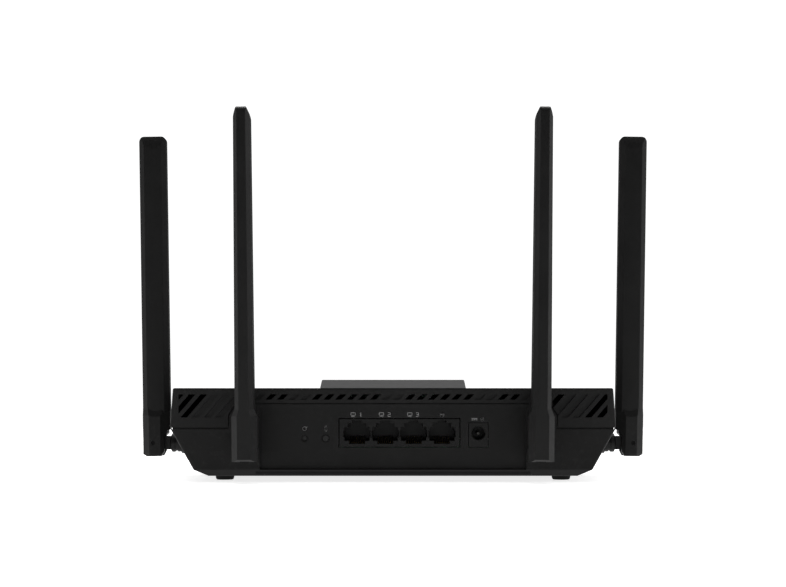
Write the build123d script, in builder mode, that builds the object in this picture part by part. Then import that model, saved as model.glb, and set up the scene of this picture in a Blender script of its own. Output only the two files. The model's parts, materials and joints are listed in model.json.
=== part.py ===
from build123d import *
import math
import os

os.makedirs("parts", exist_ok=True)

# A desktop wireless router. Millimetres, +Z up, the port panel faces -Y, +X to the right seen from behind.
# The origin is on the table, under the middle of the whole object's box.

# Case
BODY_DEPTH = 141.5
FOOT_HEIGHT = 2.8
BODY_TOP = 46.25
SEAM_Z = 26.5
SEAM_GAP = 1.0
CHAMFER_Z = 6.0
TOP_HALF = 108.6
WIDE_HALF = 110.0
LOW_HALF = 98.4
BOTTOM_HALF = 91.3
FRONT_SLOPE_RUN = 46.0
NOSE_HALF = 2.0
FRONT_CORNER_RUN = 30.0
FRONT_HALF = 84.0
WALL = 2.0
EDGE_ROUND = 1.0
LIP = 1.0
LIP_HEIGHT = 2.6

# Antennas
INNER_X = 71.5
OUTER_X = 128.05
ANTENNA_Z = 17.6
PIN_TO_WALL = 14.9
BLADE_OUT = 5.6
BLADE_IN = 8.95
BLADE_TIP = 163.95
BLADE_FOOT = -7.1
INNER_LEAN = 0.55
OUTER_LEAN = 0.85
PIN_R = 1.2
TONGUE_HALF = 3.6
TONGUE_THICK = 5.0
SHAFT_R = 3.4
RUNNING_GAP = 0.05
SOCKET_DEPTH = 15.0

REAR_Y = (PIN_TO_WALL + BLADE_OUT - BODY_DEPTH) / 2
FRONT_Y = REAR_Y + BODY_DEPTH
PANEL_RECESS = 2.5
PANEL_Y = REAR_Y + PANEL_RECESS
PANEL_BACK = PANEL_Y + WALL
SIDE_ANTENNA_Y = PANEL_Y + 65.0
SLOPE_START = FRONT_Y - FRONT_SLOPE_RUN
SLOPE = (BODY_TOP - SEAM_Z - NOSE_HALF) / FRONT_SLOPE_RUN

# Rear wall of the casing
TAB_HALF = 80.7
TAB_TOP = 38.3
PANEL_HALF = 65.7
PANEL_TOP = 36.6
GRILLE_Z = (31.75, 43.1)
GRILLE_END = 105.7
GRILLE_START = 78.0
SLOT_PITCH = 5.73
SLOT_WIDTH = 3.2
SLOT_LEAN = 9.9
BLIND_DEPTH = 0.9
VENT_Z = (40.5, 43.2)
VENT_WIDTH = 3.0
BLIND_VENTS = [-12, -9, -8, -1, 0, 7, 8, 11]

# Ports and buttons on the panel
JACK_X = 3.2
JACK_SIZE = (59.3, 21.3, 13.6)
JACK_Z = 17.3
SOCKET_XS = [-17.8, -3.8, 10.2, 24.2]
SOCKET_CUT = 14.0
JACK_GAP = 0.5
DC_X = 42.2
DC_SIZE = (9.4, 14.0, 11.8)
DC_HOLE_R = 3.2
DC_HOLE_Z = 24.0
DC_HOLE_DEPTH = 10.0
BUTTON_Z = 21.5
RESET_X = -43.7
RESET_R = 1.3
RESET_SINK = 1.0
PAIR_X = -33.3
PAIR_R = 1.6
PAIR_SINK = 0.1
BUTTON_RING_R = 2.1
BUTTON_TRAVEL = 0.4

# Board
BOARD_TOP = 17.1
BOARD_THICK = 1.6
BOARD_HALF = 76.0
BOARD_NOTCH_X = 60.0
BOARD_REAR = PANEL_BACK + 0.7
BOARD_NOTCH_Y = REAR_Y + 26.5
BOARD_FRONT = FRONT_Y - 34.0
BOARD_HOLES = [(x, y) for x in (-70.0, 70.0) for y in (-27.0, 40.0)]

# Feet, posts and screws
FEET = [(-85.5, REAR_Y + 25), (85.5, REAR_Y + 25), (-76.0, FRONT_Y - 34), (76.0, FRONT_Y - 34)]
POSTS = [(-84.0, REAR_Y + 42), (84.0, REAR_Y + 42), (-66.0, FRONT_Y - 21), (66.0, FRONT_Y - 21)]
POST_SPLIT = 15.0
SCREW_R = 1.45

# Raised centre plate
PLATE_HALF = 35.9
PLATE_RISE = 4.35
PLATE_RAMP = 18.6
PLATE_WALL = 1.6
PLATE_FRONT_HALF = 24.0
LAMP_Y = SLOPE_START - 10.0
LAMP_XS = [-21, -14, -7, 0, 7, 14, 21]


def box_between(x, y, z, mode=Mode.ADD):
    """A box from its lowest and highest value along each axis."""
    centre = [(a + b) / 2 for a, b in (x, y, z)]
    with Locations(tuple(centre)):
        Box(x[1] - x[0], y[1] - y[0], z[1] - z[0], mode=mode)


def body_form(inset):
    """The case's outer form with every face moved in by inset: three profiles that cut one another."""
    across = [(BOTTOM_HALF, FOOT_HEIGHT), (LOW_HALF, CHAMFER_Z), (WIDE_HALF, SEAM_Z), (TOP_HALF, BODY_TOP)]
    along = [
        (REAR_Y, CHAMFER_Z), (REAR_Y, BODY_TOP), (SLOPE_START, BODY_TOP), (FRONT_Y, SEAM_Z + NOSE_HALF),
        (FRONT_Y, SEAM_Z - NOSE_HALF), (FRONT_Y - 12, CHAMFER_Z), (FRONT_Y - 18, FOOT_HEIGHT),
        (REAR_Y + 3, FOOT_HEIGHT),
    ]
    corner_y = FRONT_Y - FRONT_CORNER_RUN
    plan = [(WIDE_HALF, REAR_Y), (WIDE_HALF, corner_y), (FRONT_HALF, FRONT_Y)]
    with BuildPart() as form:
        with BuildSketch(Plane.XZ):
            Polygon(*across, *[(-x, z) for x, z in reversed(across)], align=None)
            offset(amount=-inset, kind=Kind.INTERSECTION, mode=Mode.REPLACE)
        extrude(amount=BODY_DEPTH, both=True)
        with BuildSketch(Plane.YZ):
            Polygon(*along, align=None)
            offset(amount=-inset, kind=Kind.INTERSECTION, mode=Mode.REPLACE)
        extrude(amount=2 * WIDE_HALF, both=True, mode=Mode.INTERSECT)
        with BuildSketch(Plane.XY):
            Polygon(*plan, *[(-x, y) for x, y in reversed(plan)], align=None)
            offset(amount=-inset, kind=Kind.INTERSECTION, mode=Mode.REPLACE)
        extrude(amount=2 * BODY_TOP, both=True, mode=Mode.INTERSECT)
        if inset == 0:
            fillet(form.edges(), EDGE_ROUND)
    return form.part


def save(piece, name):
    """Label a finished piece and write its file."""
    piece.label = name
    export_step(piece, f"parts/{name}.step")


def slot_outline(left, z_range, width, lean):
    """Corner points of a slanted slot whose lower left corner is at left."""
    low, high = z_range
    return [(left, low), (left + width, low), (left + width + lean, high), (left + lean, high)]


def vent_slots(cells):
    """The small slanted vents of some cells of the row above the tab."""
    lean = VENT_Z[1] - VENT_Z[0]
    with BuildSketch(Plane.XZ.offset(-REAR_Y)) as slots:
        for cell in cells:
            left = (cell + 0.5) * SLOT_PITCH - (VENT_WIDTH + lean) / 2
            Polygon(*slot_outline(left, VENT_Z, VENT_WIDTH, lean), align=None)
    return slots.sketch


def grille_slots(first, count, side):
    """The corner grille's slots, clipped at its two upright ends."""
    low_x, high_x = sorted((side * GRILLE_START, side * GRILLE_END))
    with BuildSketch(Plane.XZ.offset(-REAR_Y)) as slots:
        for index in range(count):
            left = first + index * SLOT_PITCH
            Polygon(*slot_outline(left, GRILLE_Z, SLOT_WIDTH, SLOT_LEAN), align=None)
        with Locations(((low_x + high_x) / 2, BODY_TOP / 2)):
            Rectangle(high_x - low_x, BODY_TOP * 2, mode=Mode.INTERSECT)
    return slots.sketch


def chip_boxes(places, size, base=BOARD_TOP, round_edges=0.0):
    """Identical box-shaped components standing on the board."""
    with BuildPart() as chips:
        with Locations(*[(x, y, base) for x, y in places]):
            Box(*size, align=(Align.CENTER, Align.CENTER, Align.MIN))
        if round_edges:
            chamfer(chips.faces().filter_by(Axis.Z).group_by(Axis.Z)[-1].edges(), round_edges)
    return chips.part


# --- Case ---------------------------------------------------------------------------------------

outer_form = body_form(0)
inner_form = body_form(WALL)
lip_form = body_form(LIP)
rebate_form = body_form(LIP - RUNNING_GAP)

EVERYWHERE = (-400.0, 400.0)
TAB_CORNER = [(TAB_HALF, TAB_TOP - 5.6), (TAB_HALF - 3.6, TAB_TOP)]
TAB_GAP = 0.5
FLANGE_CORNER = [(TAB_HALF + 2, TAB_TOP - 4.6), (TAB_HALF - 2.6, TAB_TOP + 2)]
FLANGE_Y = (REAR_Y + 2.1, REAR_Y + 3.3)
POST_R = 3.5
COVER_POST_BASE = POST_SPLIT + 0.1
PEGS = [(x, y) for x in (-26.0, 26.0) for y in (REAR_Y + 30, REAR_Y + 70)]
PEG_R = 1.5
PIPE_HOLE_R = 1.2
TOP_SLOT_XS = [52.0, 76.0]
TOP_SLOTS = [REAR_Y + 22 + 8 * k for k in range(8)]
TOP_SLOT_LENGTH = 19.0
LEFT_GRILLE = -116.2
RIGHT_GRILLE = 94.5

# What the cover's inner edge loses to the casing's lip
with BuildPart() as rebate:
    add(rebate_form)
    box_between(EVERYWHERE, EVERYWHERE, (SEAM_Z, SEAM_Z + LIP_HEIGHT + 0.1), mode=Mode.INTERSECT)

# Screw posts that hang from the roof
with BuildPart() as cover_posts:
    with Locations(*[(x, y, COVER_POST_BASE) for x, y in POSTS]):
        Cylinder(POST_R, BODY_TOP, align=(Align.CENTER, Align.CENTER, Align.MIN))
    add(inner_form, mode=Mode.INTERSECT)
    with Locations(*[(x, y, COVER_POST_BASE) for x, y in POSTS]):
        Cylinder(SCREW_R, 20, mode=Mode.SUBTRACT)

# The cover: a thin shell above the seam, with its rear edge cut away round the casing's raised tab
with BuildPart() as top_cover:
    add(outer_form)
    add(inner_form, mode=Mode.SUBTRACT)
    split(bisect_by=Plane.XY.offset(SEAM_Z + SEAM_GAP / 2), keep=Keep.TOP)
    add(rebate.part, mode=Mode.SUBTRACT)
    with BuildSketch(Plane.XZ.offset(-REAR_Y)):
        side = [(TAB_HALF + TAB_GAP, 0), *[(x + TAB_GAP, z + TAB_GAP) for x, z in TAB_CORNER]]
        Polygon(*side, *[(-x, z) for x, z in reversed(side)], align=None)
    extrude(amount=-(WALL + 3), mode=Mode.SUBTRACT)
    # Room behind the rear edge for the tab's flange
    box_between((-TAB_HALF - 2.2, TAB_HALF + 2.2), (REAR_Y + 2.05, REAR_Y + 4), (SEAM_Z, TAB_TOP + 2.2),
                mode=Mode.SUBTRACT)
    # Corner grilles: the outermost slots and the right one nearest the antenna go through, the rest
    # are grooves. Between them, a row of small slanted vents with pairs of blind ones between its groups
    open_vents = [cell for cell in range(-12, 12) if cell not in BLIND_VENTS]
    for slots, depth in (
        (grille_slots(LEFT_GRILLE, 3, -1), WALL + 1),
        (grille_slots(LEFT_GRILLE + 3 * SLOT_PITCH, 5, -1), BLIND_DEPTH),
        (grille_slots(RIGHT_GRILLE, 2, 1), WALL + 1),
        (grille_slots(RIGHT_GRILLE - 3 * SLOT_PITCH, 3, 1), BLIND_DEPTH),
        (grille_slots(RIGHT_GRILLE - 5 * SLOT_PITCH, 2, 1), WALL + 1),
        (vent_slots(open_vents), WALL + 1),
        (vent_slots(BLIND_VENTS), BLIND_DEPTH),
    ):
        extrude(to_extrude=slots, amount=-depth, mode=Mode.SUBTRACT)
    # Slanted vents in the roof, two rows on each side of the centre plate
    with BuildSketch(Plane.XY.offset(BODY_TOP)):
        for side in (-1, 1):
            with Locations(*[(side * x, y) for x in TOP_SLOT_XS for y in TOP_SLOTS]):
                SlotOverall(TOP_SLOT_LENGTH, SLOT_WIDTH, rotation=side * 30)
    extrude(amount=-(WALL + 1), mode=Mode.SUBTRACT)
    # Holes for the plate's pegs and the light pipe
    with Locations(*[(x, y, BODY_TOP) for x, y in PEGS]):
        Hole(PEG_R, depth=WALL + 1)
    with Locations(*[(x, LAMP_Y, BODY_TOP) for x in LAMP_XS]):
        Hole(PIPE_HOLE_R, depth=WALL + 1)
    add(cover_posts.part)
save(top_cover.part, "top_cover")

SOCKET_BOSS_R = 5.7
SOCKET_BORE_R = SHAFT_R + RUNNING_GAP
FLOOR = FOOT_HEIGHT + WALL
REAR_SOCKETS = [Plane((side * INNER_X, REAR_Y, ANTENNA_Z), z_dir=(0, 1, 0)) for side in (-1, 1)]
SIDE_FACE = OUTER_X - PIN_TO_WALL
SIDE_SOCKETS = [Plane((side * SIDE_FACE, SIDE_ANTENNA_Y, ANTENNA_Z), z_dir=(-side, 0, 0))
                for side in (-1, 1)]
PORT_MOUTH = (JACK_X - JACK_SIZE[0] / 2 - JACK_GAP, JACK_X + JACK_SIZE[0] / 2 + JACK_GAP)
DC_Z = (BOARD_TOP, BOARD_TOP + DC_SIZE[2])
KEYHOLES = [(-60.0, 10.0), (60.0, 10.0)]
BUTTON_RING_DEPTH = 0.6
INLET_GAP = 0.3
SCREW_HEAD_R = 3.2
FLOOR_VENTS = [9 + 6 * k for k in range(7)]

# The casing's lip, which stands inside the cover's edge
with BuildPart() as rim:
    add(lip_form)
    add(inner_form, mode=Mode.SUBTRACT)
    box_between(EVERYWHERE, EVERYWHERE, (SEAM_Z - SEAM_GAP / 2 - 1, SEAM_Z + LIP_HEIGHT),
                mode=Mode.INTERSECT)

# The lower casing: shell below the seam, with a raised rear tab that carries the recessed port panel
with BuildPart() as base_casing:
    add(outer_form)
    add(inner_form, mode=Mode.SUBTRACT)
    split(bisect_by=Plane.XY.offset(SEAM_Z - SEAM_GAP / 2), keep=Keep.BOTTOM)
    add(rim.part)
    # Raised tab, its flange behind the cover's edge, and the thicker wall behind the recess
    with BuildSketch(Plane.XZ.offset(-REAR_Y)):
        side = [(TAB_HALF, SEAM_Z - 2), *TAB_CORNER]
        Polygon(*side, *[(-x, z) for x, z in reversed(side)], align=None)
    extrude(amount=REAR_Y - FLANGE_Y[1])
    with BuildSketch(Plane.XZ.offset(-FLANGE_Y[0])):
        side = [(FLANGE_CORNER[0][0], SEAM_Z - 4), *FLANGE_CORNER]
        Polygon(*side, *[(-x, z) for x, z in reversed(side)], align=None)
    extrude(amount=FLANGE_Y[0] - FLANGE_Y[1])
    box_between((-PANEL_HALF - WALL, PANEL_HALF + WALL), (REAR_Y + 1, PANEL_BACK), (FLOOR - 1, TAB_TOP))
    # Antenna sockets
    for socket in REAR_SOCKETS:
        with BuildSketch(socket.offset(1)):
            Circle(SOCKET_BOSS_R)
        extrude(amount=SOCKET_DEPTH - 1)
    for socket in SIDE_SOCKETS:
        with BuildSketch(socket):
            Circle(SOCKET_BOSS_R)
        extrude(amount=SOCKET_DEPTH)
    for socket in REAR_SOCKETS + SIDE_SOCKETS:
        with BuildSketch(socket.offset(-1)):
            Circle(SOCKET_BORE_R)
        extrude(amount=SOCKET_DEPTH + 2, mode=Mode.SUBTRACT)
    # Port panel recess and its openings
    box_between((-PANEL_HALF, PANEL_HALF), (REAR_Y - 5, PANEL_Y), (CHAMFER_Z, PANEL_TOP),
                mode=Mode.SUBTRACT)
    through = (REAR_Y - 5, PANEL_BACK + 1)
    box_between(PORT_MOUTH, through, (JACK_Z - JACK_GAP, JACK_Z + JACK_SIZE[2] + JACK_GAP),
                mode=Mode.SUBTRACT)
    box_between((DC_X - DC_SIZE[0] / 2 - INLET_GAP, DC_X + DC_SIZE[0] / 2 + INLET_GAP), through,
                (DC_Z[0] - INLET_GAP, DC_Z[1] + INLET_GAP), mode=Mode.SUBTRACT)
    with BuildSketch(Plane.XZ.offset(-PANEL_Y)):
        for x, radius in ((RESET_X, RESET_R), (PAIR_X, PAIR_R)):
            with Locations((x, BUTTON_Z)):
                Circle(radius + RUNNING_GAP)
    extrude(amount=-(WALL + 1), mode=Mode.SUBTRACT)
    with BuildSketch(Plane.XZ.offset(-PANEL_Y)):
        with Locations((RESET_X, BUTTON_Z), (PAIR_X, BUTTON_Z)):
            Circle(BUTTON_RING_R)
    extrude(amount=-BUTTON_RING_DEPTH, mode=Mode.SUBTRACT)
    # Screw bosses, counterbored from below, and board standoffs
    with Locations(*[(x, y, FLOOR - 1) for x, y in POSTS]):
        Cylinder(POST_R + 1, POST_SPLIT - FLOOR + 1, align=(Align.CENTER, Align.CENTER, Align.MIN))
    with BuildSketch(Plane.XY):
        with Locations(*POSTS):
            Circle(SCREW_R + 0.25)
    extrude(amount=POST_SPLIT + 1, mode=Mode.SUBTRACT)
    with BuildSketch(Plane.XY):
        with Locations(*POSTS):
            Circle(SCREW_HEAD_R)
    extrude(amount=FOOT_HEIGHT + 2.4, mode=Mode.SUBTRACT)
    with Locations(*[(x, y, FLOOR - 1) for x, y in BOARD_HOLES]):
        Cylinder(3.0, BOARD_TOP - BOARD_THICK - FLOOR + 1, align=(Align.CENTER, Align.CENTER, Align.MIN))
    with Locations(*[(x, y, BOARD_TOP - BOARD_THICK) for x, y in BOARD_HOLES]):
        Hole(1.1, depth=7)
    # Foot sockets, wall keyholes and floor vents
    with Locations(*[(x, y, FOOT_HEIGHT) for x, y in FEET]):
        Cylinder(2.0, 2.4, mode=Mode.SUBTRACT)
    with BuildSketch(Plane.XY):
        with Locations(*KEYHOLES):
            Circle(4.0)
        with Locations(*[(x, y - 5) for x, y in KEYHOLES]):
            SlotOverall(14, 4.0, rotation=90)
        for side in (-1, 1):
            with Locations(*[(side * x, 12) for x in FLOOR_VENTS]):
                SlotOverall(44, 2.4, rotation=90)
    extrude(amount=FLOOR + 0.5, mode=Mode.SUBTRACT)
save(base_casing.part, "base_casing")

# Raised trim plate: a ramp up from the rear edge, then level, then down the front slope
slope_end = FRONT_Y - 8
top_line = BODY_TOP + PLATE_RISE
with BuildPart() as centre_plate:
    with BuildSketch(Plane.YZ):
        Polygon(
            (REAR_Y + 0.4, BODY_TOP), (REAR_Y + PLATE_RAMP, top_line), (SLOPE_START, top_line),
            (slope_end, BODY_TOP - (slope_end - SLOPE_START) * SLOPE + 1.2),
            (slope_end, BODY_TOP - (slope_end - SLOPE_START) * SLOPE), (SLOPE_START, BODY_TOP),
            align=None)
    extrude(amount=PLATE_HALF, both=True)
    with BuildSketch(Plane.XY):
        Polygon(
            (-PLATE_HALF, REAR_Y), (PLATE_HALF, REAR_Y), (PLATE_HALF, REAR_Y + 62),
            (PLATE_FRONT_HALF, slope_end), (-PLATE_FRONT_HALF, slope_end), (-PLATE_HALF, REAR_Y + 62),
            align=None)
    extrude(amount=2 * BODY_TOP, mode=Mode.INTERSECT)
    top_edges = centre_plate.faces().filter_by(Axis.Z).sort_by(Axis.Z)[-1].edges()
    chamfer(top_edges.filter_by(lambda edge: abs(edge.center().X) > 1), 0.4)
    with BuildSketch(Plane.YZ):
        Polygon(
            (REAR_Y + 12, BODY_TOP - 1), (REAR_Y + 12, BODY_TOP + 1),
            (REAR_Y + PLATE_RAMP, top_line - PLATE_WALL), (SLOPE_START, top_line - PLATE_WALL),
            (SLOPE_START + 16, BODY_TOP - 16 * SLOPE + 1.3),
            (SLOPE_START + 16, BODY_TOP - 17 * SLOPE - 1), (SLOPE_START, BODY_TOP - 1),
            align=None)
    extrude(amount=PLATE_FRONT_HALF + 2, both=True, mode=Mode.SUBTRACT)
    with Locations(*[(x, y, BODY_TOP - 3.4) for x, y in PEGS]):
        Cylinder(PEG_R, PLATE_RISE + 2.4, align=(Align.CENTER, Align.CENTER, Align.MIN))
    with Locations(*[(x, LAMP_Y, top_line) for x in LAMP_XS]):
        Hole(PIPE_HOLE_R - 0.2, depth=PLATE_RISE)
save(centre_plate.part, "centre_plate")

# Clear moulding that carries each lamp's light to the plate
with BuildPart() as light_pipe:
    box_between((LAMP_XS[0] - 2, LAMP_XS[-1] + 2), (LAMP_Y - 2, LAMP_Y + 2),
                (BODY_TOP - WALL - 2, BODY_TOP - WALL))
    with Locations(*[(x, LAMP_Y, BOARD_TOP + 1.2) for x in LAMP_XS]):
        Cylinder(0.95, top_line - BOARD_TOP - 1.2, align=(Align.CENTER, Align.CENTER, Align.MIN))
save(light_pipe.part, "light_pipe")

# Rubber feet, tapered, each with a spigot in the casing floor
for number, (x, y) in enumerate(FEET, start=1):
    with BuildPart() as foot:
        with BuildSketch(Plane.XZ.offset(-y)):
            with BuildLine():
                Polyline((x, 0), (x + 4.0, 0), (x + 4.5, 0.5), (x + 5.0, FOOT_HEIGHT),
                         (x + 2.0, FOOT_HEIGHT), (x + 2.0, FOOT_HEIGHT + 1.1), (x, FOOT_HEIGHT + 1.1),
                         close=True)
            make_face()
        revolve(axis=Axis((x, y, 0), (0, 0, 1)))
    save(foot.part, f"foot_{number}")

# Casing screws from below, board screws from above
with BuildPart() as casing_screws:
    with Locations(*[(x, y, FOOT_HEIGHT + 0.6) for x, y in POSTS]):
        Cylinder(2.8, 1.8, align=(Align.CENTER, Align.CENTER, Align.MIN))
        Cylinder(SCREW_R, 19.0, align=(Align.CENTER, Align.CENTER, Align.MIN))
    with Locations(*[(x, y, FOOT_HEIGHT + 0.6) for x, y in POSTS]):
        Box(3.0, 0.7, 1.6, mode=Mode.SUBTRACT)
        Box(0.7, 3.0, 1.6, mode=Mode.SUBTRACT)
save(casing_screws.part, "casing_screws")

with BuildPart() as board_screws:
    with Locations(*[(x, y, BOARD_TOP) for x, y in BOARD_HOLES]):
        Cylinder(2.3, 1.5, align=(Align.CENTER, Align.CENTER, Align.MIN))
    with Locations(*[(x, y, BOARD_TOP - 7.5) for x, y in BOARD_HOLES]):
        Cylinder(1.1, 7.6, align=(Align.CENTER, Align.CENTER, Align.MIN))
save(board_screws.part, "board_screws")

# --- Ports and buttons --------------------------------------------------------------------------

# Half width and lower height of each step of a network socket's mouth, from the latch notch down
SOCKET_TOP = 30.2
SOCKET_STEPS = [(2.2, 28.9), (4.45, 26.9), (6.15, 25.2), (6.65, 22.0), (6.15, 20.3), (3.85, 18.8)]
CONTACT_PITCH = 1.02
CONTACT_WIDTH = 0.4

# Ganged socket housing, flush with the port panel
with BuildPart() as ethernet_jack_block:
    box_between((JACK_X - JACK_SIZE[0] / 2, JACK_X + JACK_SIZE[0] / 2), (PANEL_Y, PANEL_Y + JACK_SIZE[1]),
                (JACK_Z, JACK_Z + JACK_SIZE[2]))
    with BuildSketch(Plane.XZ.offset(-PANEL_Y)):
        upper = SOCKET_TOP
        for half, lower in SOCKET_STEPS:
            with Locations(*[(x, (upper + lower) / 2) for x in SOCKET_XS]):
                Rectangle(2 * half, upper - lower)
            upper = lower
    extrude(amount=-SOCKET_CUT, mode=Mode.SUBTRACT)
    rim_edges = ethernet_jack_block.edges().filter_by_position(Axis.Y, PANEL_Y - 0.01, PANEL_Y + 0.01)
    mouth_edges = rim_edges.filter_by(lambda edge: JACK_Z + 0.1 < edge.center().Z < SOCKET_TOP + 0.1)
    chamfer(mouth_edges.filter_by(lambda edge: abs(edge.center().X - JACK_X) < JACK_SIZE[0] / 2 - 0.1), 0.25)
save(ethernet_jack_block.part, "ethernet_jack_block")

# Spring wires: a foot along the socket's floor, bent back up towards the rear of the socket
with BuildPart() as jack_contacts:
    contact_xs = [x + (k - 3.5) * CONTACT_PITCH for x in SOCKET_XS for k in range(8)]
    for x in contact_xs:
        with BuildSketch(Plane.YZ.offset(x)):
            with BuildLine():
                Polyline((PANEL_Y + SOCKET_CUT, 19.1), (PANEL_Y + 1.6, 19.1), (PANEL_Y + 11.0, 22.1))
            trace(line_width=CONTACT_WIDTH)
        extrude(amount=CONTACT_WIDTH / 2, both=True)
save(jack_contacts.part, "jack_contacts")

# Power inlet: square housing, round mouth, centre pin and three terminals through the board
TERMINALS = [(DC_X, PANEL_Y + 12.5), (DC_X, PANEL_Y + 7.5), (DC_X + 3.6, PANEL_Y + 9.5)]
with BuildPart() as dc_jack_body:
    box_between((DC_X - DC_SIZE[0] / 2, DC_X + DC_SIZE[0] / 2), (PANEL_Y, PANEL_Y + DC_SIZE[1]), DC_Z)
    with BuildSketch(Plane.XZ.offset(-PANEL_Y)):
        with Locations((DC_X, DC_HOLE_Z)):
            Circle(DC_HOLE_R)
    extrude(amount=-DC_HOLE_DEPTH, mode=Mode.SUBTRACT)
    mouth = dc_jack_body.faces().sort_by(Axis.Y)[0].edges().filter_by(GeomType.CIRCLE)
    chamfer(mouth, 0.4)
save(dc_jack_body.part, "dc_jack_body")

with BuildPart() as dc_jack_pin:
    with BuildSketch(Plane.XZ.offset(-PANEL_Y - 1.0)):
        with Locations((DC_X, DC_HOLE_Z)):
            Circle(1.0)
    extrude(amount=-(DC_HOLE_DEPTH - 1.0))
    fillet(dc_jack_pin.edges().sort_by(Axis.Y)[0], 0.6)
save(dc_jack_pin.part, "dc_jack_pin")

with BuildPart() as dc_jack_terminals:
    with Locations(*[(x, y, BOARD_TOP - 3.2) for x, y in TERMINALS]):
        Box(2.0, 0.7, 3.2, align=(Align.CENTER, Align.CENTER, Align.MIN))
save(dc_jack_terminals.part, "dc_jack_terminals")

# Each button: a cap in its hole, a flange behind the panel, and the switch plunger that it rests on
SWITCH_FACE = PANEL_BACK + 3.4
PLUNGER_R = 1.2
for name, x, radius, sink in (("reset", RESET_X, RESET_R, RESET_SINK), ("pair", PAIR_X, PAIR_R, PAIR_SINK)):
    with BuildPart() as button:
        with BuildSketch(Plane.XZ.offset(-PANEL_Y - sink)):
            with Locations((x, BUTTON_Z)):
                Circle(radius)
        extrude(amount=-(SWITCH_FACE - 1.0 - PANEL_Y - sink))
        with BuildSketch(Plane.XZ.offset(-PANEL_BACK - 0.05)):
            with Locations((x, BUTTON_Z)):
                Circle(radius + 1.0)
        extrude(amount=-0.8)
        fillet(button.edges().filter_by(GeomType.CIRCLE).sort_by(Axis.Y)[0], 0.35)
    save(button.part, f"{name}_button")
    with BuildPart() as plunger:
        with BuildSketch(Plane.XZ.offset(-SWITCH_FACE + 1.0)):
            with Locations((x, BUTTON_Z)):
                Circle(PLUNGER_R)
        extrude(amount=-3.0)
    save(plunger.part, f"{name}_plunger")

with BuildPart() as tact_switches:
    for x in (RESET_X, PAIR_X):
        box_between((x - 3, x + 3), (SWITCH_FACE, SWITCH_FACE + 4.2), (BOARD_TOP, BUTTON_Z + 3))
    with BuildSketch(Plane.XZ.offset(-SWITCH_FACE)):
        with Locations((RESET_X, BUTTON_Z), (PAIR_X, BUTTON_Z)):
            Circle(PLUNGER_R + RUNNING_GAP)
    extrude(amount=-2.6, mode=Mode.SUBTRACT)
save(tact_switches.part, "tact_switches")

# --- Board and what stands on it ----------------------------------------------------------------

with BuildPart() as main_board:
    with BuildSketch(Plane.XY.offset(BOARD_TOP - BOARD_THICK)):
        half_outline = [(BOARD_NOTCH_X, BOARD_REAR), (BOARD_NOTCH_X, BOARD_NOTCH_Y),
                        (BOARD_HALF, BOARD_NOTCH_Y), (BOARD_HALF, BOARD_FRONT)]
        Polygon(*half_outline, *[(-x, y) for x, y in reversed(half_outline)], align=None)
        with Locations(*BOARD_HOLES):
            Circle(1.3, mode=Mode.SUBTRACT)
        with Locations(*TERMINALS):
            Rectangle(2.2, 0.9, mode=Mode.SUBTRACT)
    extrude(amount=BOARD_THICK)
save(main_board.part, "main_board")

CHIP = (6.0, 2.0)
CHIP_SIZE = (17.0, 17.0, 1.4)
PAD_THICK = 0.8
SINK_HALF = 16.0
SHIELDS = [(-38.0, 6.0), (48.0, 6.0)]
LEAD_ENDS = [(-58.0, 12.0), (-60.0, -12.0), (62.0, -12.0), (66.0, 12.0)]

save(chip_boxes([CHIP], CHIP_SIZE, round_edges=0.3), "processor_chip")
save(chip_boxes([CHIP], (15.0, 15.0, PAD_THICK), base=BOARD_TOP + CHIP_SIZE[2]), "thermal_pad")
save(chip_boxes([(6.0, -22.0)], (12.0, 8.0, 1.2), round_edges=0.25), "memory_chip")
save(chip_boxes([(-14.0, -20.0)], (5.2, 5.2, 1.8), round_edges=0.3), "flash_chip")
save(chip_boxes([(-12.0, -30.0), (14.0, -30.0)], (14.0, 7.0, 4.6), round_edges=0.5), "line_transformers")
INDUCTORS = [(46.0, -22.0), (56.0, -26.0), (-34.0, 27.5)]
save(chip_boxes(INDUCTORS, (6.5, 6.5, 3.2), round_edges=0.8), "power_inductors")
save(chip_boxes([(-17.0, -10.5)], (11.0, 4.6, 3.4), round_edges=0.8), "crystal")
save(chip_boxes([(x, LAMP_Y) for x in LAMP_XS], (1.6, 0.9, 0.8)), "status_lamps")
SMALL_PARTS = [(x, y) for y in (16.0, 22.0, 33.0) for x in range(-66, 70, 6) if abs(x - 6) > 18]
save(chip_boxes(SMALL_PARTS, (1.2, 0.7, 0.5)), "small_components")

with BuildPart() as heatsink:
    sink_base = BOARD_TOP + CHIP_SIZE[2] + PAD_THICK
    with Locations((*CHIP, sink_base)):
        Box(2 * SINK_HALF, 2 * SINK_HALF, 2.0, align=(Align.CENTER, Align.CENTER, Align.MIN))
    with Locations(*[(CHIP[0] - SINK_HALF + 0.6 + 3.08 * k, CHIP[1], sink_base + 2.0) for k in range(11)]):
        Box(1.2, 2 * SINK_HALF, 8.0, align=(Align.CENTER, Align.CENTER, Align.MIN))
save(heatsink.part, "heatsink")

with BuildPart() as radio_shields:
    with Locations(*[(x, y, BOARD_TOP) for x, y in SHIELDS]):
        Box(30.0, 22.0, 2.8, align=(Align.CENTER, Align.CENTER, Align.MIN))
        Box(29.2, 21.2, 2.4, align=(Align.CENTER, Align.CENTER, Align.MIN), mode=Mode.SUBTRACT)
save(radio_shields.part, "radio_shields")

with BuildPart() as capacitors:
    with Locations(*[(x, y, BOARD_TOP) for x, y in ((38.0, -30.0), (30.0, -22.0), (52.0, -36.0))]):
        Cylinder(3.15, 8.0, align=(Align.CENTER, Align.CENTER, Align.MIN))
    fillet(capacitors.faces().filter_by(Axis.Z).group_by(Axis.Z)[-1].edges(), 0.5)
save(capacitors.part, "capacitors")

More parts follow.
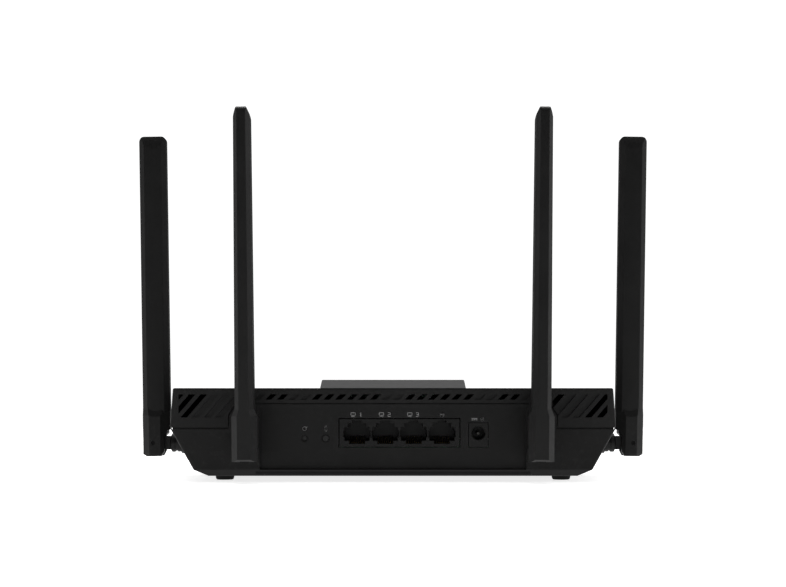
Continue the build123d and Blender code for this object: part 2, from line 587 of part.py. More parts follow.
CONNECTOR_HEIGHT = 1.2
with BuildPart() as lead_connectors:
    with Locations(*[(x, y, BOARD_TOP) for x, y in LEAD_ENDS]):
        Cylinder(1.3, CONNECTOR_HEIGHT, align=(Align.CENTER, Align.CENTER, Align.MIN))
save(lead_connectors.part, "lead_connectors")

# --- Antennas -----------------------------------------------------------------------------------
# Modelled once with the hinge pin along Y through the origin, the blade up and the case towards +X.

OVERHANG_Z = 7.15
BLADE_THICK = (9.7, 8.5)
CROWN = 0.25
EDGE_SHARE = 0.485
BEVEL_RUN = 2.7
TIP_FLAT = 2.3
TIP_DROP = 8.0
TIP_CORNER = 2.9
EDGE_SOFT = 0.6
FOOT_HALF = 6.25
FOOT_TOP = 21.5
SHOULDER_Z = 14.9
SCALLOP_LOW = 13.8
SCALLOP_R = 24.0
SCALLOP_ANGLE = 24.0
FORK_GAP = 0.1
SLOT_R = TONGUE_HALF + 0.3
SLOT_REACH = 14.0
PIN_SINK = 0.5
COLLAR_R = 5.0
BARREL_R = 4.9
SHAFT_END = PIN_TO_WALL + SOCKET_DEPTH + 4.0
CLIP_START = PIN_TO_WALL + SOCKET_DEPTH + 0.2
CLIP_THICK = 1.2
CLIP_GROOVE_R = 2.7
CLIP_R = 5.2
LEAD_BORE_R = 1.4
BLADE_MIDDLE = (BLADE_IN - BLADE_OUT) / 2


def blade_section(z, thick):
    """The blade's section at a height: crowned wide faces, bevelled towards both narrow edges."""
    half = thick / 2
    edge = EDGE_SHARE * half
    shoulder = half - CROWN
    with BuildSketch(Plane.XY.offset(z)) as section:
        with BuildLine():
            Line((BLADE_IN, -edge), (BLADE_IN, edge))
            Line((BLADE_IN, edge), (BLADE_IN - BEVEL_RUN, shoulder))
            ThreePointArc((BLADE_IN - BEVEL_RUN, shoulder), (BLADE_MIDDLE, half),
                          (BEVEL_RUN - BLADE_OUT, shoulder))
            Line((BEVEL_RUN - BLADE_OUT, shoulder), (-BLADE_OUT, edge))
            Line((-BLADE_OUT, edge), (-BLADE_OUT, -edge))
            Line((-BLADE_OUT, -edge), (BEVEL_RUN - BLADE_OUT, -shoulder))
            ThreePointArc((BEVEL_RUN - BLADE_OUT, -shoulder), (BLADE_MIDDLE, -half),
                          (BLADE_IN - BEVEL_RUN, -shoulder))
            Line((BLADE_IN - BEVEL_RUN, -shoulder), (BLADE_IN, -edge))
        make_face()
    return section.sketch


def foot_section(z, shrink=0.0):
    """The foot's section at a height: a flat band between a short bevel and a long one."""
    right = [(BLADE_IN, 2.9), (4.05, FOOT_HALF), (-2.0, FOOT_HALF), (-BLADE_OUT, 3.3)]
    right = [(x, y - shrink) for x, y in right]
    with BuildSketch(Plane.XY.offset(z)) as section:
        Polygon(*right, *[(x, -y) for x, y in reversed(right)], align=None)
    return section.sketch


# Fork foot: a bevelled block whose shoulders taper into the blade, scooped on both wide faces
with BuildPart() as fork_foot:
    extrude(to_extrude=foot_section(BLADE_FOOT), amount=SHOULDER_Z - BLADE_FOOT)
    loft([foot_section(SHOULDER_Z), foot_section(FOOT_TOP, shrink=2.0)])
    tilt = math.radians(SCALLOP_ANGLE)
    for side in (-1, 1):
        scoop = Plane((BLADE_MIDDLE, side * FOOT_HALF, SCALLOP_LOW), x_dir=(1, 0, 0),
                      z_dir=(0, -side * math.sin(tilt), math.cos(tilt)))
        with Locations(scoop * Location((0, SCALLOP_R * side, 0))):
            Cylinder(SCALLOP_R, 60, mode=Mode.SUBTRACT)
    with BuildSketch(Plane.XZ):
        Polygon((-BLADE_OUT, FOOT_TOP), (-BLADE_OUT, BLADE_FOOT + 1.1), (2.1 - BLADE_OUT, BLADE_FOOT),
                (4.4, BLADE_FOOT), (5.9, -4.6), (5.9, 3.5), (7.6, 5.0), (7.6, 6.7), (BLADE_IN, OVERHANG_Z),
                (BLADE_IN, FOOT_TOP), align=None)
    extrude(amount=2 * FOOT_HALF, both=True, mode=Mode.INTERSECT)

with BuildPart() as antenna_shell:
    loft([blade_section(OVERHANG_Z, BLADE_THICK[0]), blade_section(BLADE_TIP, BLADE_THICK[1])])
    # The tip: rounded corners across the width, a long dome across the thickness
    with BuildSketch(Plane.XZ) as tip_view:
        with Locations((BLADE_MIDDLE, BLADE_TIP)):
            Rectangle(BLADE_IN + BLADE_OUT, BLADE_TIP, align=(Align.CENTER, Align.MAX))
        fillet(tip_view.vertices().group_by(Axis.Z)[-1], TIP_CORNER)
    extrude(amount=FOOT_HALF, both=True, mode=Mode.INTERSECT)
    with BuildSketch(Plane.YZ):
        with BuildLine():
            dome_half = BLADE_THICK[1] / 2 + 0.05
            dome_start = BLADE_TIP - TIP_DROP
            Polyline((-dome_half, dome_start), (-FOOT_HALF, 0), (FOOT_HALF, 0), (dome_half, dome_start))
            TangentArc((dome_half, dome_start), (TIP_FLAT, BLADE_TIP), tangent=(0, 1))
            Line((TIP_FLAT, BLADE_TIP), (-TIP_FLAT, BLADE_TIP))
            TangentArc((-dome_half, dome_start), (-TIP_FLAT, BLADE_TIP), tangent=(0, 1))
        make_face()
    extrude(amount=BLADE_IN + BLADE_OUT, both=True, mode=Mode.INTERSECT)
    fillet(antenna_shell.edges().filter_by(lambda edge: edge.length > BLADE_TIP / 2), EDGE_SOFT)
    add(fork_foot.part)
    # Fork slot, open towards the case and downwards
    with BuildSketch(Plane.XZ):
        Circle(SLOT_R)
        with Locations((0, 0)):
            Rectangle(SLOT_REACH, 2 * SLOT_R, align=(Align.MIN, Align.CENTER))
        with Locations((-SLOT_R, 0)):
            Rectangle(SLOT_REACH + SLOT_R, SLOT_REACH, align=(Align.MIN, Align.MAX))
    extrude(amount=TONGUE_THICK / 2 + FORK_GAP, both=True, mode=Mode.SUBTRACT)
    with BuildSketch(Plane.XZ):
        Circle(PIN_R)
    extrude(amount=2 * FOOT_HALF, both=True, mode=Mode.SUBTRACT)
    # Room for the radiating element, and the lead's way down to the fork
    box_between((-1.2, 5.7), (-0.5, 0.5), (SLOT_R + 6, BLADE_TIP - 14), mode=Mode.SUBTRACT)
    with Locations((1.5, 0, SLOT_R + 3)):
        Cylinder(0.9, 8, mode=Mode.SUBTRACT)

with BuildPart() as antenna_element:
    box_between((-1.0, 5.5), (-0.4, 0.4), (SLOT_R + 6, BLADE_TIP - 15))

with BuildPart() as hinge_pin:
    with BuildSketch(Plane.XZ):
        Circle(PIN_R)
    extrude(amount=FOOT_HALF - PIN_SINK, both=True)

# Swivel base: rounded tongue, flared collar, groove, barrel, then the shaft with its clip groove
with BuildPart() as swivel_base:
    with BuildSketch(Plane.XZ):
        Circle(TONGUE_HALF)
        Rectangle(10.5, 2 * TONGUE_HALF, align=(Align.MIN, Align.CENTER))
        Circle(PIN_R + RUNNING_GAP, mode=Mode.SUBTRACT)
    extrude(amount=TONGUE_THICK / 2, both=True)
    with BuildSketch(Plane.XZ):
        with BuildLine():
            Polyline(
                (8.9, 0), (8.9, 3.6), (9.7, COLLAR_R), (11.4, COLLAR_R), (11.4, 4.4), (12.8, 4.4),
                (12.8, BARREL_R), (PIN_TO_WALL - 0.1, BARREL_R), (PIN_TO_WALL - 0.1, SHAFT_R),
                (CLIP_START, SHAFT_R),
                (CLIP_START, CLIP_GROOVE_R), (CLIP_START + CLIP_THICK, CLIP_GROOVE_R),
                (CLIP_START + CLIP_THICK, SHAFT_R), (SHAFT_END, SHAFT_R), (SHAFT_END, 0), close=True)
        make_face()
    revolve(axis=Axis.X)
    # Hollow for the lead
    with BuildSketch(Plane.YZ.offset(SHAFT_END)):
        Circle(LEAD_BORE_R)
    extrude(amount=-(SHAFT_END - 7), mode=Mode.SUBTRACT)

with BuildPart() as retainer_clip:
    with BuildSketch(Plane.YZ.offset(CLIP_START)):
        Circle(CLIP_R)
        Circle(CLIP_GROOVE_R, mode=Mode.SUBTRACT)
        with Locations((0, -3.5)):
            Rectangle(2 * CLIP_GROOVE_R - 0.6, 7, mode=Mode.SUBTRACT)
    extrude(amount=CLIP_THICK)

# Where each antenna stands: pin position, turn about Z, lean about the swivel, lean about the pin
REAR_PIN_Y = REAR_Y - PIN_TO_WALL
STATIONS = {
    "outer_left": (-OUTER_X, SIDE_ANTENNA_Y, 0, 0, -OUTER_LEAN),
    "inner_left": (-INNER_X, REAR_PIN_Y, 90, -INNER_LEAN, 0),
    "inner_right": (INNER_X, REAR_PIN_Y, 90, INNER_LEAN, 0),
    "outer_right": (OUTER_X, SIDE_ANTENNA_Y, 180, 0, -OUTER_LEAN),
}
for station, (x, y, turn, swivel_lean, fold_lean) in STATIONS.items():
    base_place = Location((x, y, ANTENNA_Z), (0, 0, turn)) * Location((0, 0, 0), (swivel_lean, 0, 0))
    blade_place = base_place * Location((0, 0, 0), (0, fold_lean, 0))
    for name, piece, place in (
        ("antenna", antenna_shell, blade_place),
        ("antenna_element", antenna_element, blade_place),
        ("hinge_pin", hinge_pin, blade_place),
        ("swivel_base", swivel_base, base_place),
        ("retainer_clip", retainer_clip, base_place),
    ):
        with BuildPart() as placed:
            with Locations(place):
                add(piece.part)
        save(placed.part, f"{name}_{station}")

# Coaxial leads inside the case, from each swivel's hollow shaft to its connector on the board
LEAD_R = 0.6
LEAD_END_Z = BOARD_TOP + LEAD_R + 0.05
LEAD_GAP = 1.0
LEAD_BEND_R = 2.5
for (station, (x, y, *leans)), end in zip(STATIONS.items(), LEAD_ENDS):
    side = 1 if x > 0 else -1
    if abs(x) == OUTER_X:
        start = Vector(side * (OUTER_X - SHAFT_END - LEAD_GAP), y, ANTENNA_Z)
        route = [start, start + Vector(-side * 8, 0, 1.0), start + Vector(-side * 18, 2, 4.4)]
    else:
        start = Vector(x, REAR_PIN_Y + SHAFT_END + LEAD_GAP, ANTENNA_Z)
        route = [start, start + Vector(0, 5, 1.0), start + Vector(-side * 2, 14, 4.4)]
    finish = Vector(end[0] + side * 1.6, end[1], LEAD_END_Z)
    route += [finish + Vector(side * 5, 0, 2.4), finish]
    with BuildPart() as lead:
        with BuildLine():
            FilletPolyline(*route, radius=LEAD_BEND_R)
        with BuildSketch(Plane(origin=route[0], z_dir=route[1] - route[0])):
            Circle(LEAD_R)
        sweep()
    save(lead.part, f"coax_lead_{station}")
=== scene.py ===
import json
import math

import bmesh
import bpy
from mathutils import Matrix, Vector


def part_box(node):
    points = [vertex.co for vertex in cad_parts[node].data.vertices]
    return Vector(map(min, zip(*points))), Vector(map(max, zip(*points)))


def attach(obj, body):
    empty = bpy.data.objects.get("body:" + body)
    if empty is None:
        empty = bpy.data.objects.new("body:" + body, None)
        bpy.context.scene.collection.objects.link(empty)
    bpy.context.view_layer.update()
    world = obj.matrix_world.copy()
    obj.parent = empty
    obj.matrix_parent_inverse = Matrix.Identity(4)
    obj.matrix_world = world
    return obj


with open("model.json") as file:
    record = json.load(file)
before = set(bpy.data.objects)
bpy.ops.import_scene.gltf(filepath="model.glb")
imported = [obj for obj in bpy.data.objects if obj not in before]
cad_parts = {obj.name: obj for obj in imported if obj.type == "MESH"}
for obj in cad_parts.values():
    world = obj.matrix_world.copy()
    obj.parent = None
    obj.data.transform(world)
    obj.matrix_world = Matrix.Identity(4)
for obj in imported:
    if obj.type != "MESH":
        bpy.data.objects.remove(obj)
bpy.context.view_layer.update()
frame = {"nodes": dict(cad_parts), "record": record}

MM = 0.001
nodes = frame["nodes"]

# --- Places that the CAD gives ------------------------------------------------------------------

jack_low, jack_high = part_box("ethernet_jack_block")
inlet_low, inlet_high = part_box("dc_jack_body")
reset_low, reset_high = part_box("reset_button")
pair_low, pair_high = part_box("pair_button")
PANEL_Y = jack_low.y
SOCKET_PITCH = 14.0 * MM
JACK_X = (jack_low.x + jack_high.x) / 2
SOCKET_XS = [JACK_X + step * SOCKET_PITCH for step in (-1.5, -0.5, 0.5, 1.5)]


# --- Camera -------------------------------------------------------------------------------------

CAMERA_DISTANCE = 0.750
CAMERA_HEIGHT = 0.039
LENS = 69.5
FRAMING_SHIFT = 0.139

camera_data = bpy.data.cameras.new("camera")
camera_data.sensor_width = 36.0
camera_data.lens = LENS
camera_data.shift_y = FRAMING_SHIFT
camera_data.clip_start = 0.01
camera_data.clip_end = 50.0
camera = bpy.data.objects.new("camera", camera_data)
bpy.context.scene.collection.objects.link(camera)
camera.location = (0.0, PANEL_Y - CAMERA_DISTANCE, CAMERA_HEIGHT)
camera.rotation_euler = (math.radians(90), 0, 0)
bpy.context.scene.camera = camera


# --- Node helpers -------------------------------------------------------------------------------

class Shader:
    """A material under construction, with one Principled shader."""

    def __init__(self, name):
        self.material = bpy.data.materials.new(name)
        self.material.use_nodes = True
        self.tree = self.material.node_tree
        self.bsdf = self.tree.nodes["Principled BSDF"]
        self.place = self.add("ShaderNodeTexCoord").outputs["Object"]

    def add(self, kind, **inputs):
        """Add a node; inputs are socket values, or sockets to link."""
        node = self.tree.nodes.new(kind)
        for key, value in inputs.items():
            self.feed(node.inputs[key.replace("_", " ")], value)
        return node

    def feed(self, socket, value):
        """Link a socket, or set its value."""
        if isinstance(value, bpy.types.NodeSocket):
            self.tree.links.new(value, socket)
        else:
            socket.default_value = value

    def noise(self, scale, detail=3.0, roughness=0.55):
        """Noise from 0 to 1, scale in cells per metre."""
        node = self.add("ShaderNodeTexNoise", Vector=self.place,
                        Scale=scale, Detail=detail, Roughness=roughness)
        return node.outputs["Fac"]

    def ranged(self, value, low, high, start=0.3, end=0.7):
        """Remap a 0 to 1 value to a range, clamped."""
        node = self.tree.nodes.new("ShaderNodeMapRange")
        for key, number in (("From Min", start), ("From Max", end), ("To Min", low), ("To Max", high)):
            node.inputs[key].default_value = number
        self.feed(node.inputs["Value"], value)
        return node.outputs["Result"]

    def mix(self, factor, first, second):
        """Mix two colours."""
        node = self.tree.nodes.new("ShaderNodeMix")
        node.data_type = "RGBA"
        self.feed(node.inputs["Factor"], factor)
        self.feed(node.inputs["A"], first)
        self.feed(node.inputs["B"], second)
        return node.outputs["Result"]

    def bump(self, height, strength, distance):
        """Bump the shader's normal."""
        node = self.add("ShaderNodeBump", Height=height, Strength=strength, Distance=distance)
        previous = self.bsdf.inputs["Normal"]
        if previous.is_linked:
            self.feed(node.inputs["Normal"], previous.links[0].from_socket)
        self.feed(previous, node.outputs["Normal"])

    def edges(self, low=0.52, high=0.6):
        """0 on flat stretches to 1 on outward edges."""
        pointiness = self.add("ShaderNodeNewGeometry").outputs["Pointiness"]
        return self.ranged(pointiness, 0.0, 1.0, low, high)

    def set(self, **values):
        """Set or link the Principled shader's own sockets."""
        for key, value in values.items():
            self.feed(self.bsdf.inputs[key.replace("_", " ")], value)


def grey(value, warm=0.0):
    """A nearly neutral colour."""
    return (value * (1 + warm), value, value * (1 - warm), 1.0)


# --- Materials, one function for each kind ------------------------------------------------------

# Low, so that black plastic stays black above a glowing floor
SHEEN = 0.14


def moulded_plastic(name, tone, roughness, grain=0.25, grain_scale=2600.0, wear_and_edge_highlight=0.35):
    """Black moulded plastic: spark-eroded grain, faint flow clouds, edges a little paler, partly rubbed wear
    and partly a painted highlight.
    """
    shader = Shader(name)
    clouds = shader.noise(38.0, detail=4.0)
    body = shader.mix(shader.ranged(clouds, 0.0, 1.0), grey(tone * 0.86), grey(tone * 1.14, 0.01))
    # Paler patches on outward edges: partly rubbed wear, partly a painted highlight along the edges.
    scuffs_and_edge_highlight = shader.ranged(shader.noise(420.0, detail=6.0, roughness=0.7), 0.0, wear_and_edge_highlight, 0.52, 0.72)
    rubbed_and_highlighted_edges = shader.tree.nodes.new("ShaderNodeMath")
    rubbed_and_highlighted_edges.operation = "MULTIPLY"
    shader.feed(rubbed_and_highlighted_edges.inputs[0], shader.edges())
    shader.feed(rubbed_and_highlighted_edges.inputs[1], scuffs_and_edge_highlight)
    shader.set(
        Base_Color=shader.mix(rubbed_and_highlighted_edges.outputs[0], body, grey(tone * 3.0)),
        Roughness=shader.ranged(shader.noise(95.0, detail=5.0), roughness - 0.05, roughness + 0.05),
    )
    shader.set(IOR=1.5, Specular_IOR_Level=SHEEN)
    shader.bump(shader.noise(grain_scale, detail=2.0), grain, 0.00004)
    shader.bump(shader.noise(14.0, detail=1.0), 0.05, 0.0004)
    return shader.material


def rubber(name, tone):
    """Soft rubber, dull, with a fine granular skin."""
    shader = Shader(name)
    dust = shader.ranged(shader.noise(300.0, detail=6.0, roughness=0.7), 0.0, 0.6, 0.5, 0.75)
    shader.set(Base_Color=shader.mix(dust, grey(tone), grey(tone * 2.4, 0.03)), Roughness=0.82)
    shader.set(IOR=1.45, Specular_IOR_Level=SHEEN)
    shader.bump(shader.noise(3200.0, detail=3.0), 0.35, 0.00005)
    return shader.material


def metal(name, colour, roughness, brushed=0.0):
    """Metal with fine drawing marks along one way and faint tarnish."""
    shader = Shader(name)
    tarnish = shader.ranged(shader.noise(180.0, detail=5.0), 0.0, 0.5)
    dull = tuple(0.72 * value for value in colour[:3]) + (1.0,)
    shader.set(
        Base_Color=shader.mix(tarnish, colour, dull),
        Roughness=shader.ranged(shader.noise(700.0, detail=4.0), roughness - 0.06, roughness + 0.08),
    )
    shader.set(Metallic=1.0)
    if brushed:
        stretch = shader.add("ShaderNodeMapping", Vector=shader.place)
        stretch.inputs["Scale"].default_value = (4000.0, 60.0, 4000.0)
        marks = shader.add("ShaderNodeTexNoise", Vector=stretch.outputs["Vector"], Scale=1.0, Detail=2.0)
        shader.bump(marks.outputs["Fac"], brushed, 0.00002)
    return shader.material


def circuit_board(name):
    """Solder mask over copper: a fine pattern of traces under a green skin."""
    shader = Shader(name)
    cells = shader.add("ShaderNodeTexBrick", Vector=shader.place, Scale=220.0)
    cells.inputs["Mortar Size"].default_value = 0.035
    cells.inputs["Color1"].default_value = (0.012, 0.085, 0.035, 1)
    cells.inputs["Color2"].default_value = (0.016, 0.105, 0.045, 1)
    cells.inputs["Mortar"].default_value = (0.035, 0.17, 0.07, 1)
    shader.set(Base_Color=cells.outputs["Color"], Roughness=shader.ranged(shader.noise(150.0), 0.22, 0.34))
    shader.bump(cells.outputs["Fac"], 0.3, 0.00003)
    return shader.material


def glossy_body(name, colour, roughness):
    """Moulded component body with a faint mottle."""
    shader = Shader(name)
    darker = tuple(0.8 * value for value in colour[:3]) + (1.0,)
    shader.set(
        Base_Color=shader.mix(shader.ranged(shader.noise(260.0), 0.0, 1.0), colour, darker),
        Roughness=shader.ranged(shader.noise(500.0), roughness - 0.04, roughness + 0.06),
    )
    shader.bump(shader.noise(1800.0), 0.12, 0.00003)
    return shader.material


def light_guide(name):
    """Clear moulding, faintly frosted."""
    shader = Shader(name)
    frost = shader.ranged(shader.noise(600.0), 0.0, 1.0)
    shader.set(
        Base_Color=shader.mix(frost, (0.72, 0.78, 0.8, 1), (0.82, 0.86, 0.88, 1)),
        Roughness=shader.ranged(shader.noise(300.0), 0.16, 0.3),
    )
    shader.set(IOR=1.49)
    shader.bsdf.inputs["Transmission Weight"].default_value = 0.55
    return shader.material


def printed_ink(name, tone):
    """Pad-printed ink, thinner in places, so the black shows through a little."""
    shader = Shader(name)
    thin = shader.ranged(shader.noise(2400.0, detail=4.0), 0.0, 0.55, 0.5, 0.8)
    shader.set(
        Base_Color=shader.mix(thin, grey(tone), grey(tone * 0.55)),
        Roughness=shader.ranged(shader.noise(900.0), 0.5, 0.62),
    )
    shader.bump(shader.noise(3000.0), 0.1, 0.00002)
    return shader.material


MATERIALS = {
    "cover_plastic": moulded_plastic("cover_plastic", 0.0105, 0.46),
    "casing_plastic": moulded_plastic("casing_plastic", 0.0095, 0.48),
    "trim_plastic": moulded_plastic("trim_plastic", 0.0125, 0.36, grain=0.12, grain_scale=3400.0),
    "antenna_plastic": moulded_plastic("antenna_plastic", 0.0105, 0.44, grain=0.18),
    "hinge_plastic": moulded_plastic("hinge_plastic", 0.0095, 0.40, grain=0.1),
    "button_plastic": moulded_plastic("button_plastic", 0.0200, 0.42, grain=0.1),
    "plunger_plastic": moulded_plastic("plunger_plastic", 0.0300, 0.42, grain=0.1),
    "socket_plastic": moulded_plastic("socket_plastic", 0.0090, 0.34, grain=0.08, wear_and_edge_highlight=0.2),
    "foot_rubber": rubber("foot_rubber", 0.009),
    "lead_jacket": rubber("lead_jacket", 0.02),
    "thermal_pad": rubber("thermal_pad", 0.3),
    "hinge_pin": metal("hinge_pin", (0.012, 0.012, 0.012, 1), 0.5),
    "screw_black": metal("screw_black", (0.05, 0.05, 0.052, 1), 0.35),
    "spring_steel": metal("spring_steel", (0.55, 0.55, 0.56, 1), 0.3, brushed=0.3),
    "screw_zinc": metal("screw_zinc", (0.66, 0.67, 0.68, 1), 0.28),
    "shield_tin": metal("shield_tin", (0.64, 0.64, 0.62, 1), 0.34, brushed=0.4),
    "can_metal": metal("can_metal", (0.78, 0.78, 0.8, 1), 0.26, brushed=0.2),
    "sink_aluminium": metal("sink_aluminium", (0.75, 0.75, 0.77, 1), 0.45, brushed=0.3),
    # Gold darkened: painted shade, for contacts that sit deep inside the sockets.
    "contact_gold": metal("contact_gold", (0.30, 0.22, 0.09, 1), 0.42),
    # Nickel pin darkened nearly to black: painted shade, for a pin that sits deep in its inlet.
    "inlet_pin": metal("inlet_pin", (0.04, 0.04, 0.038, 1), 0.45),
    "element_copper": metal("element_copper", (0.78, 0.42, 0.26, 1), 0.35, brushed=0.3),
    "board_mask": circuit_board("board_mask"),
    "moulded_black": glossy_body("moulded_black", (0.02, 0.02, 0.021, 1), 0.35),
    "chip_resin": glossy_body("chip_resin", (0.03, 0.03, 0.032, 1), 0.5),
    "ferrite": glossy_body("ferrite", (0.07, 0.07, 0.075, 1), 0.6),
    "ceramic": glossy_body("ceramic", (0.35, 0.27, 0.18, 1), 0.4),
    "lamp_resin": glossy_body("lamp_resin", (0.85, 0.84, 0.66, 1), 0.3),
    "light_guide": light_guide("light_guide"),
}
PANEL_INK = printed_ink("panel_ink", 0.26)

for entry in frame["record"]["subparts"]:
    piece = nodes[entry["node"]]
    piece.data.materials.clear()
    piece.data.materials.append(MATERIALS[entry["material_slot"]])


# --- Printed marks on the port panel ------------------------------------------------------------
# Generic signs. Each is a list of paths, in millimetres round its centre.

INK_LINE = 0.27
INK_PROUD = 0.05
INK_SUNK = 0.02
DIGIT_HALF = 0.55
DIGIT_RISE = 0.95


def arc(radius, start, end, steps=10):
    """Points along part of a circle, angles in degrees."""
    angles = [math.radians(start + (end - start) * k / steps) for k in range(steps + 1)]
    return [(radius * math.cos(a), radius * math.sin(a)) for a in angles]


def moved(paths, shift):
    """The same paths, further along X."""
    return [[(x + shift, z) for x, z in path] for path in paths]


def digit(number):
    """A digit made of straight strokes."""
    half, rise = DIGIT_HALF, DIGIT_RISE
    return {
        1: [[(-half * 0.6, rise * 0.6), (0, rise), (0, -rise)]],
        2: [[(-half, rise), (half, rise), (half, 0), (-half, 0), (-half, -rise), (half, -rise)]],
        3: [[(-half, rise), (half, rise), (half, -rise), (-half, -rise)], [(-half * 0.6, 0), (half, 0)]],
    }[number]


SCREEN = [[(-1.1, -0.3), (-1.1, 0.95), (1.1, 0.95), (1.1, -0.3), (-1.1, -0.3)], [(0, -0.3), (0, -0.95)],
          [(-0.8, -0.95), (0.8, -0.95)]]
GLOBE = [arc(1.0, 0, 360, 20), [(-1.0, 0), (1.0, 0)], [(0.45 * x, z) for x, z in arc(1.0, 0, 360, 20)]]
TURN_BACK = [arc(0.95, 70, 380, 16), [(0.35, 0.35), (0.9, 0.32), (1.15, 0.85)]]
WAVES = [arc(0.55, -50, 50, 6), arc(1.15, -50, 50, 8), arc(1.75, -50, 50, 10)]
DASHES = [[(x, -0.35), (x + 0.55, -0.35)] for x in (-1.3, -0.275, 0.75)]
DIRECT_CURRENT = [[(-1.3, 0.35), (1.3, 0.35)]] + DASHES
POLARITY = [arc(0.75, 35, 325, 14), arc(0.22, 0, 360, 8)]


def printed_mark(name, paths, centre_x, centre_z):
    """A mark a hair proud of the panel, its strokes square in section."""
    mesh = bmesh.new()
    half = INK_LINE / 2
    for path in paths:
        for (x1, z1), (x2, z2) in zip(path, path[1:]):
            along = Vector((x2 - x1, z2 - z1)).normalized() * half
            across = Vector((-along.y, along.x))
            start = Vector((x1, z1)) - along
            end = Vector((x2, z2)) + along
            corners = [start - across, end - across, end + across, start + across]
            rings = [
                [mesh.verts.new((centre_x + p.x * MM, PANEL_Y + y * MM, centre_z + p.y * MM)) for p in corners]
                for y in (INK_SUNK, -INK_PROUD)
            ]
            mesh.faces.new(rings[0])
            mesh.faces.new(rings[1][::-1])
            for k in range(4):
                after = (k + 1) % 4
                mesh.faces.new((rings[0][k], rings[1][k], rings[1][after], rings[0][after]))
    bmesh.ops.recalc_face_normals(mesh, faces=mesh.faces)
    data = bpy.data.meshes.new(name)
    mesh.to_mesh(data)
    mesh.free()
    data.materials.append(PANEL_INK)
    mark = bpy.data.objects.new(name, data)
    bpy.context.scene.collection.objects.link(mark)
    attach(mark, "case")


SOCKET_MARK_Z = 33.1 * MM
BUTTON_MARK_Z = 26.2 * MM
INLET_MARK_Z = 30.9 * MM
SIGN_SHIFT = 1.9
for order, x in enumerate(SOCKET_XS):
    if order < 3:
        marks = moved(SCREEN, -SIGN_SHIFT) + moved(digit(order + 1), SIGN_SHIFT)
    else:
        marks = GLOBE
    printed_mark(f"socket_mark_{order + 1}", marks, x, SOCKET_MARK_Z)
printed_mark("reset_mark", TURN_BACK, (reset_low.x + reset_high.x) / 2, BUTTON_MARK_Z)
printed_mark("pair_mark", moved(WAVES, -0.9), (pair_low.x + pair_high.x) / 2, BUTTON_MARK_Z)
printed_mark("inlet_mark", moved(DIRECT_CURRENT, -SIGN_SHIFT) + moved(POLARITY, SIGN_SHIFT),
             (inlet_low.x + inlet_high.x) / 2, INLET_MARK_Z)


# --- Floor, surroundings and lights -------------------------------------------------------------

FLOOR_HALF = 1.6
GLOW_MIDDLE = 0.78
GLOW_RIM = 1.04
GLOW_RAMP = (0.15, 0.85)


def pale_floor():
    """A plain white shooting table whose glow is painted light: stronger towards the rim, where the lamps
    light it less, and a little weaker in the middle, which leaves a faint painted shade round the object.
    """
    mesh = bpy.data.meshes.new("floor")
    corners = [(-FLOOR_HALF, -FLOOR_HALF, 0), (FLOOR_HALF, -FLOOR_HALF, 0),
               (FLOOR_HALF, FLOOR_HALF, 0), (-FLOOR_HALF, FLOOR_HALF, 0)]
    mesh.from_pydata(corners, [], [(0, 1, 2, 3)])
    floor = bpy.data.objects.new("floor", mesh)
    bpy.context.scene.collection.objects.link(floor)
    shader = Shader("floor")
    tint = shader.ranged(shader.noise(6.0), 0.0, 1.0)
    shader.set(Base_Color=shader.mix(tint, grey(0.78), grey(0.80)), Roughness=0.9)
    shader.bsdf.inputs["Specular IOR Level"].default_value = 0.1
    shader.bsdf.inputs["Emission Color"].default_value = grey(1.0)
    reach = shader.tree.nodes.new("ShaderNodeVectorMath")
    reach.operation = "LENGTH"
    shader.feed(reach.inputs[0], shader.place)
    # Painted light: the floor's own glow, weaker near the object and stronger towards the rim.
    shader.set(Emission_Strength=shader.ranged(reach.outputs["Value"], GLOW_MIDDLE, GLOW_RIM, *GLOW_RAMP))
    mesh.materials.append(shader.material)


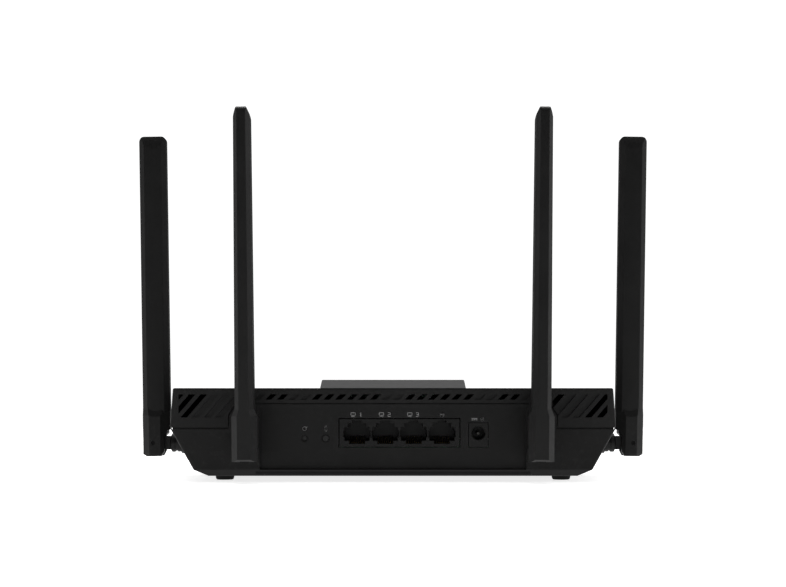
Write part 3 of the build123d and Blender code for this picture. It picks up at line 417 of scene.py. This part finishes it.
def softbox(name, place, aim, size, power):
    """A large soft area light."""
    data = bpy.data.lights.new(name, "AREA")
    data.shape = "RECTANGLE"
    data.size, data.size_y = size
    data.energy = power
    light = bpy.data.objects.new(name, data)
    bpy.context.scene.collection.objects.link(light)
    light.location = place
    light.rotation_euler = (Vector(aim) - Vector(place)).to_track_quat("-Z", "Y").to_euler()


def surroundings(seen, front, back):
    """White where the camera looks. As a light source, dim behind the camera and softer grey beyond."""
    world = bpy.data.worlds.new("studio")
    world.use_nodes = True
    tree = world.node_tree
    tree.nodes.clear()
    path = tree.nodes.new("ShaderNodeLightPath")
    output = tree.nodes.new("ShaderNodeOutputWorld")
    mixer = tree.nodes.new("ShaderNodeMixShader")
    tree.links.new(path.outputs["Is Camera Ray"], mixer.inputs["Fac"])
    way = tree.nodes.new("ShaderNodeSeparateXYZ")
    tree.links.new(tree.nodes.new("ShaderNodeTexCoord").outputs["Generated"], way.inputs["Vector"])
    depth = tree.nodes.new("ShaderNodeMapRange")
    for key, number in (("From Min", -0.3), ("From Max", 0.6), ("To Min", front), ("To Max", back)):
        depth.inputs[key].default_value = number
    tree.links.new(way.outputs["Y"], depth.inputs["Value"])
    studio = tree.nodes.new("ShaderNodeBackground")
    tree.links.new(depth.outputs["Result"], studio.inputs["Strength"])
    white = tree.nodes.new("ShaderNodeBackground")
    white.inputs["Strength"].default_value = seen
    for index, source in ((1, studio), (2, white)):
        source.inputs["Color"].default_value = (1, 1, 1, 1)
        tree.links.new(source.outputs["Background"], mixer.inputs[index])
    tree.links.new(mixer.outputs["Shader"], output.inputs["Surface"])
    bpy.context.scene.world = world


pale_floor()
surroundings(seen=1.1, front=0.04, back=0.16)
softbox("top_light", (0, 0.15, 1.5), (0, 0.05, 0), (2.2, 1.6), 16.0)
softbox("hair_light", (0, 0.6, 1.15), (0, 0, 0.1), (1.3, 0.15), 10.0)
softbox("left_light", (-1.2, 0.1, 0.40), (0, 0, 0.09), (0.8, 1.0), 2.0)
softbox("right_light", (1.2, 0.1, 0.40), (0, 0, 0.09), (0.8, 1.0), 4.0)
softbox("back_light", (0, 1.4, 1.2), (0, 0, 0.05), (1.6, 0.6), 2.6)
bpy.context.scene.view_settings.view_transform = "Standard"
